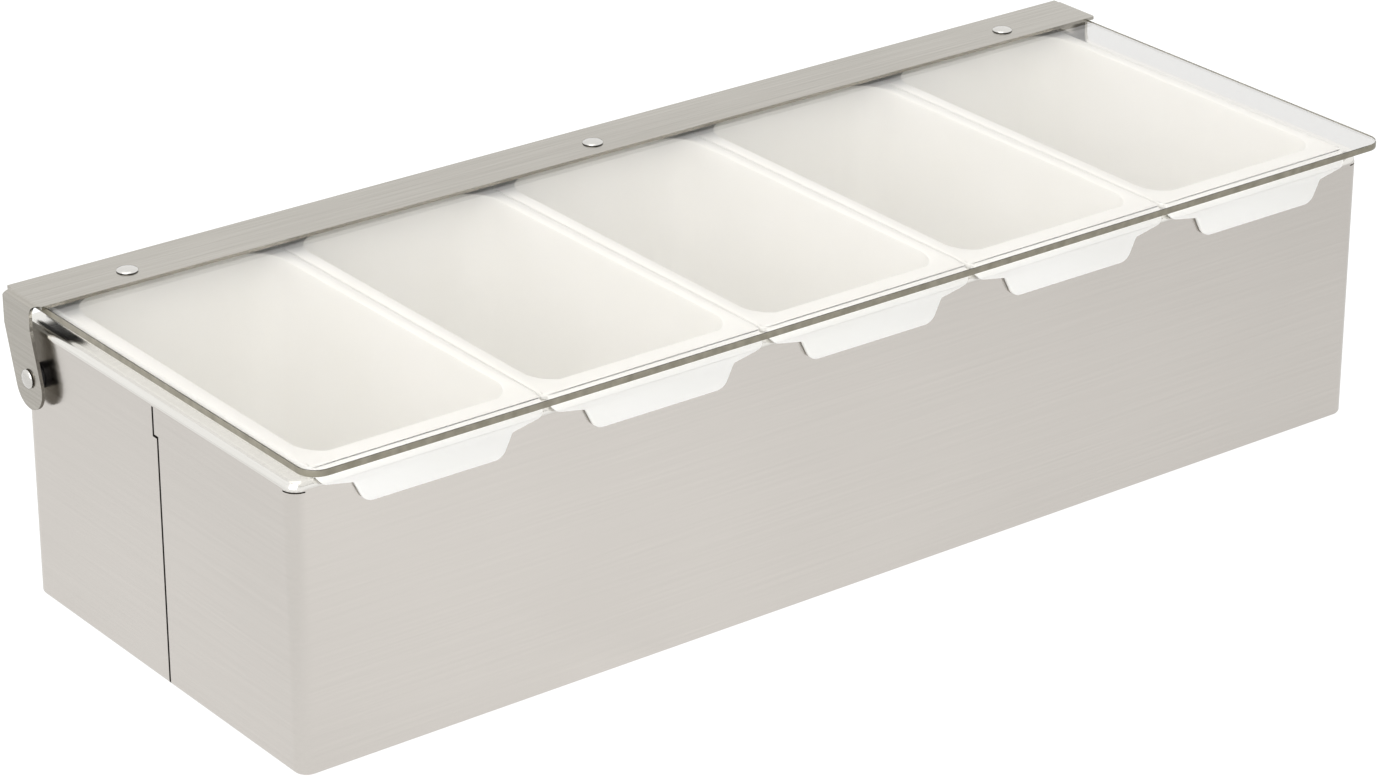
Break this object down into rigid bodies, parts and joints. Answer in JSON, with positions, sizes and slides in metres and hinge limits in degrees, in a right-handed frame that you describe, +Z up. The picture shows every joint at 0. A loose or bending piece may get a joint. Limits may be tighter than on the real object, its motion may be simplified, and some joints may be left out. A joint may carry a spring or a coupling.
{
  "type": "countertop garnish caddy with lift-out inserts and a hinged clear lid",
  "caption": "Folded steel tray holding a row of lift-out garnish inserts with finger tabs, under a long clear lid that swings up on a riveted hinge rail.",
  "frame": {"origin": "centre of the housing's flat underside, where it stands on the counter", "axes": "+X along the length to the right as seen from the front, +Y towards the hinge side, +Z up"},
  "size_m": [0.4612, 0.1779, 0.1116],
  "materials": {
    "steel_sheet": "satin stainless sheet with a fine grain",
    "steel_bright": "bright formed stainless rivets and washers",
    "insert_plastic": "milky white moulded plastic with a fine matte skin",
    "lid_clear": "clear flat acrylic sheet with polished faces",
    "spacer_nylon": "dull black nylon"
  },
  "bodies": {
    "housing_body": {"housing": "steel_sheet", "pivot_rivets": "steel_bright", "pivot_spacers": "spacer_nylon"},
    "lid": {"hinge_rail": "steel_sheet", "lid_panel": "lid_clear", "lid_rivets": "steel_bright", "lid_washers": "steel_bright"},
    "insert_1_body": {"insert_1": "insert_plastic"},
    "insert_2_body": {"insert_2": "insert_plastic"},
    "insert_3_body": {"insert_3": "insert_plastic"},
    "insert_4_body": {"insert_4": "insert_plastic"},
    "insert_5_body": {"insert_5": "insert_plastic"}
  },
  "joints": [
    {"name": "lid_hinge", "type": "hinge", "parent": "housing_body", "child": "lid", "pos_m": [0, 0.07125, 0.0826], "axis": [-1, 0, 0], "range_deg": [0, 128]},
    {"name": "insert_1_lift", "type": "slide", "parent": "housing_body", "child": "insert_1_body", "axis": [0, 0, 1], "range_m": [0, 0.002]},
    {"name": "insert_2_lift", "type": "slide", "parent": "housing_body", "child": "insert_2_body", "axis": [0, 0, 1], "range_m": [0, 0.002]},
    {"name": "insert_3_lift", "type": "slide", "parent": "housing_body", "child": "insert_3_body", "axis": [0, 0, 1], "range_m": [0, 0.002]},
    {"name": "insert_4_lift", "type": "slide", "parent": "housing_body", "child": "insert_4_body", "axis": [0, 0, 1], "range_m": [0, 0.002]},
    {"name": "insert_5_lift", "type": "slide", "parent": "housing_body", "child": "insert_5_body", "axis": [0, 0, 1], "range_m": [0, 0.002]}
  ]
}
